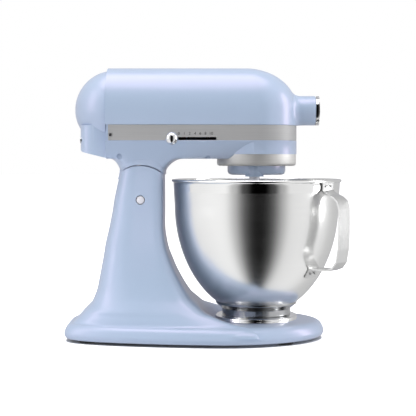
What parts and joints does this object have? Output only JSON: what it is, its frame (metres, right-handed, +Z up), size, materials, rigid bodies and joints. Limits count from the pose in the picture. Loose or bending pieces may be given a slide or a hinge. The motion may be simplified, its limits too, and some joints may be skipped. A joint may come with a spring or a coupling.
{
  "type": "stand mixer",
  "caption": "Tilt-head stand mixer: powder-blue cast stand and head, planetary drive, brushed steel bowl with a strap handle, front power hub.",
  "frame": {"origin": "middle of the whole outline, on the table under the feet", "axes": "+X forwards to the attachment hub, +Y to the far side with the lock lever, +Z up"},
  "size_m": [0.3641, 0.2228, 0.3529],
  "materials": {
    "blue_enamel": "satin powder-blue enamel",
    "rubber_feet": "matt grey-black rubber",
    "bright_screws": "zinc-plated steel",
    "clamp_chrome": "polished chrome plate",
    "pin_steel": "ground steel",
    "band_satin": "satin grey metal band",
    "collar_satin": "satin silver",
    "black_plastic": "satin black moulding",
    "gear_steel": "machined steel, greased",
    "bronze": "sintered bronze",
    "lamination": "stacked steel laminations",
    "copper": "enamelled copper winding",
    "frame_alloy": "die-cast alloy",
    "carbon": "carbon brush",
    "board_green": "circuit board",
    "knob_chrome": "mirror chrome",
    "bowl_steel": "brushed stainless below a polished collar",
    "foot_steel": "polished stainless",
    "handle_steel": "polished stainless strap"
  },
  "bodies": {
    "stand": {"base": "blue_enamel", "pedestal": "blue_enamel", "feet": "rubber_feet", "pedestal_screws": "bright_screws", "clamp_plate": "clamp_chrome", "clamp_screws": "bright_screws", "hinge_pin": "pin_steel", "pin_set_screw": "gear_steel"},
    "head": {"gearcase": "blue_enamel", "upper_housing": "blue_enamel", "rear_cover": "blue_enamel", "rear_cover_screw": "bright_screws", "housing_screws": "bright_screws", "trim_band": "band_satin", "band_screws": "bright_screws", "cord_gland": "black_plastic", "collar_ring": "collar_satin", "ring_gear": "gear_steel", "centre_bush": "bronze", "motor_field": "lamination", "field_coils": "copper", "end_frame": "frame_alloy", "brush_holders": "bronze", "brushes": "carbon", "control_board": "board_green", "hub_cover_pin": "pin_steel"},
    "armature": {"armature_shaft": "pin_steel", "armature_core": "lamination", "commutator": "copper", "cooling_fan": "black_plastic"},
    "counter_gears": {"worm_wheel": "bronze", "countershaft": "gear_steel"},
    "planetary_head": {"centre_shaft": "pin_steel", "centre_gear": "gear_steel", "planetary": "blue_enamel", "planetary_pin": "gear_steel"},
    "agitator": {"agitator_shaft": "pin_steel", "agitator_pinion": "gear_steel", "agitator_pin": "gear_steel"},
    "power_socket": {"hub_drive": "gear_steel"},
    "hub_cap": {"hub_cover": "knob_chrome"},
    "thumb_screw": {"hub_screw": "black_plastic"},
    "speed_control": {"speed_lever": "pin_steel", "speed_knob": "knob_chrome"},
    "head_lock": {"lock_bolt": "pin_steel", "lock_lever": "black_plastic"},
    "mixing_bowl": {"bowl": "bowl_steel", "bowl_foot": "foot_steel", "handle": "handle_steel", "handle_rivets": "handle_steel"}
  },
  "joints": [
    {"name": "head_tilt", "type": "hinge", "parent": "stand", "child": "head", "pos_m": [-0.081, 0, 0.1823], "axis": [0, -1, 0], "range_deg": [0, 50]},
    {"name": "planetary_spin", "type": "hinge", "parent": "head", "child": "planetary_head", "pos_m": [0.069, 0, 0.2141], "axis": [0, 0, 1], "continuous": true},
    {"name": "agitator_spin", "type": "hinge", "parent": "planetary_head", "child": "agitator", "pos_m": [0.06519, -0.02976, 0.2141], "axis": [0, 0, 1], "continuous": true},
    {"name": "countershaft_spin", "type": "hinge", "parent": "head", "child": "counter_gears", "pos_m": [0.03731, 0.024, 0.2978], "axis": [0, 0, 1], "continuous": true},
    {"name": "armature_spin", "type": "hinge", "parent": "head", "child": "armature", "pos_m": [0.03731, 0, 0.2978], "axis": [1, 0, 0], "continuous": true},
    {"name": "power_socket_spin", "type": "hinge", "parent": "head", "child": "power_socket", "pos_m": [0.1456, 0, 0.2978], "axis": [1, 0, 0], "continuous": true},
    {"name": "hub_cap_flip", "type": "hinge", "parent": "head", "child": "hub_cap", "pos_m": [0.1488, 0, 0.3148], "axis": [0, -1, 0], "range_deg": [0, 100]},
    {"name": "thumb_screw_turn", "type": "hinge", "parent": "head", "child": "thumb_screw", "pos_m": [0.1326, 0, 0.2978], "axis": [0, 1, 0], "range_deg": [0, 720]},
    {"name": "speed_slide", "type": "slide", "parent": "head", "child": "speed_control", "axis": [1, 0, 0], "range_m": [0, 0.04]},
    {"name": "lock_slide", "type": "slide", "parent": "stand", "child": "head_lock", "axis": [-1, 0, 0], "range_m": [0, 0.01]},
    {"name": "bowl_twist", "type": "hinge", "parent": "stand", "child": "mixing_bowl", "pos_m": [0.069, 0, 0.024], "axis": [0, 0, 1], "range_deg": [0, 28]}
  ],
  "couplings": [
    {"joint": "agitator_spin", "follows": "planetary_spin", "ratio": -3.8571},
    {"joint": "countershaft_spin", "follows": "planetary_spin", "ratio": -3.0769},
    {"joint": "armature_spin", "follows": "planetary_spin", "ratio": 36.923},
    {"joint": "power_socket_spin", "follows": "planetary_spin", "ratio": 1}
  ]
}
